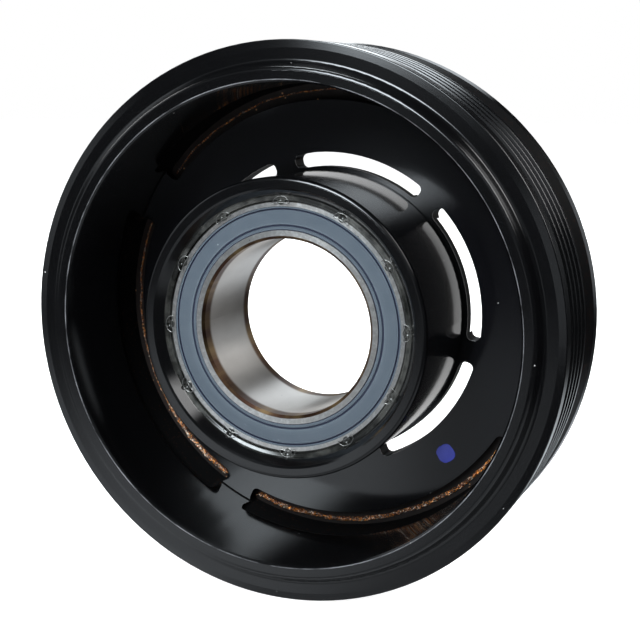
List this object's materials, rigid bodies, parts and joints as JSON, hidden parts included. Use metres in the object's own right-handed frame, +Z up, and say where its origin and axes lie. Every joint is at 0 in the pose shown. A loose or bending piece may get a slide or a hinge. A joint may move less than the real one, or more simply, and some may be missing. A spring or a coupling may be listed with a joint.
{
  "type": "air conditioning clutch pulley",
  "caption": "Ribbed clutch pulley for a vehicle air-conditioning compressor, with a slotted web, a friction face and a sealed ball bearing staked into its hub.",
  "frame": {"origin": "centre of the bearing bore, halfway along the bearing", "axes": "+Y along the bore towards the friction face, -Y towards the coil side, +Z up, +X to the right when seen from the coil side"},
  "size_m": [0.1111, 0.0315, 0.111],
  "materials": {
    "rotor_paint": "gloss black coating on forged and turned steel",
    "friction_lining": "brown moulded friction compound with metal chips",
    "bearing_steel": "ground bearing steel",
    "ball_steel": "polished",
    "cage_polyamide": "glass-filled polyamide, natural colour",
    "seal_rubber": "smooth slate-blue nitrile rubber",
    "seal_steel": "pressed sheet steel",
    "paint_mark": "blue inspection paint"
  },
  "bodies": {
    "inner_ring": {"bearing_inner_ring": "bearing_steel"},
    "pulley": {"rotor": "rotor_paint", "friction_lining": "friction_lining", "bearing_outer_ring": "bearing_steel", "seal_rubber_rear": "seal_rubber", "seal_rubber_front": "seal_rubber", "seal_core_rear": "seal_steel", "seal_core_front": "seal_steel"},
    "cage_rear": {"cage_rear": "cage_polyamide", "ball_rear_01": "ball_steel", "ball_rear_02": "ball_steel", "ball_rear_03": "ball_steel", "ball_rear_04": "ball_steel", "ball_rear_05": "ball_steel", "ball_rear_06": "ball_steel", "ball_rear_07": "ball_steel", "ball_rear_08": "ball_steel", "ball_rear_09": "ball_steel", "ball_rear_10": "ball_steel", "ball_rear_11": "ball_steel", "ball_rear_12": "ball_steel", "ball_rear_13": "ball_steel", "ball_rear_14": "ball_steel", "ball_rear_15": "ball_steel", "ball_rear_16": "ball_steel", "ball_rear_17": "ball_steel", "ball_rear_18": "ball_steel", "ball_rear_19": "ball_steel", "ball_rear_20": "ball_steel"},
    "cage_front": {"cage_front": "cage_polyamide", "ball_front_01": "ball_steel", "ball_front_02": "ball_steel", "ball_front_03": "ball_steel", "ball_front_04": "ball_steel", "ball_front_05": "ball_steel", "ball_front_06": "ball_steel", "ball_front_07": "ball_steel", "ball_front_08": "ball_steel", "ball_front_09": "ball_steel", "ball_front_10": "ball_steel", "ball_front_11": "ball_steel", "ball_front_12": "ball_steel", "ball_front_13": "ball_steel", "ball_front_14": "ball_steel", "ball_front_15": "ball_steel", "ball_front_16": "ball_steel", "ball_front_17": "ball_steel", "ball_front_18": "ball_steel", "ball_front_19": "ball_steel", "ball_front_20": "ball_steel"}
  },
  "joints": [
    {"name": "pulley_spin", "type": "hinge", "parent": "inner_ring", "child": "pulley", "pos_m": [0, 0, 0], "axis": [0, 1, 0], "continuous": true},
    {"name": "cage_rear_spin", "type": "hinge", "parent": "inner_ring", "child": "cage_rear", "pos_m": [0, -0.0047, 0], "axis": [0, 1, 0], "continuous": true},
    {"name": "cage_front_spin", "type": "hinge", "parent": "inner_ring", "child": "cage_front", "pos_m": [0, 0.0047, 0], "axis": [0, 1, 0], "continuous": true}
  ],
  "couplings": [
    {"joint": "cage_rear_spin", "follows": "pulley_spin", "ratio": 0.5508},
    {"joint": "cage_front_spin", "follows": "pulley_spin", "ratio": 0.5508}
  ]
}
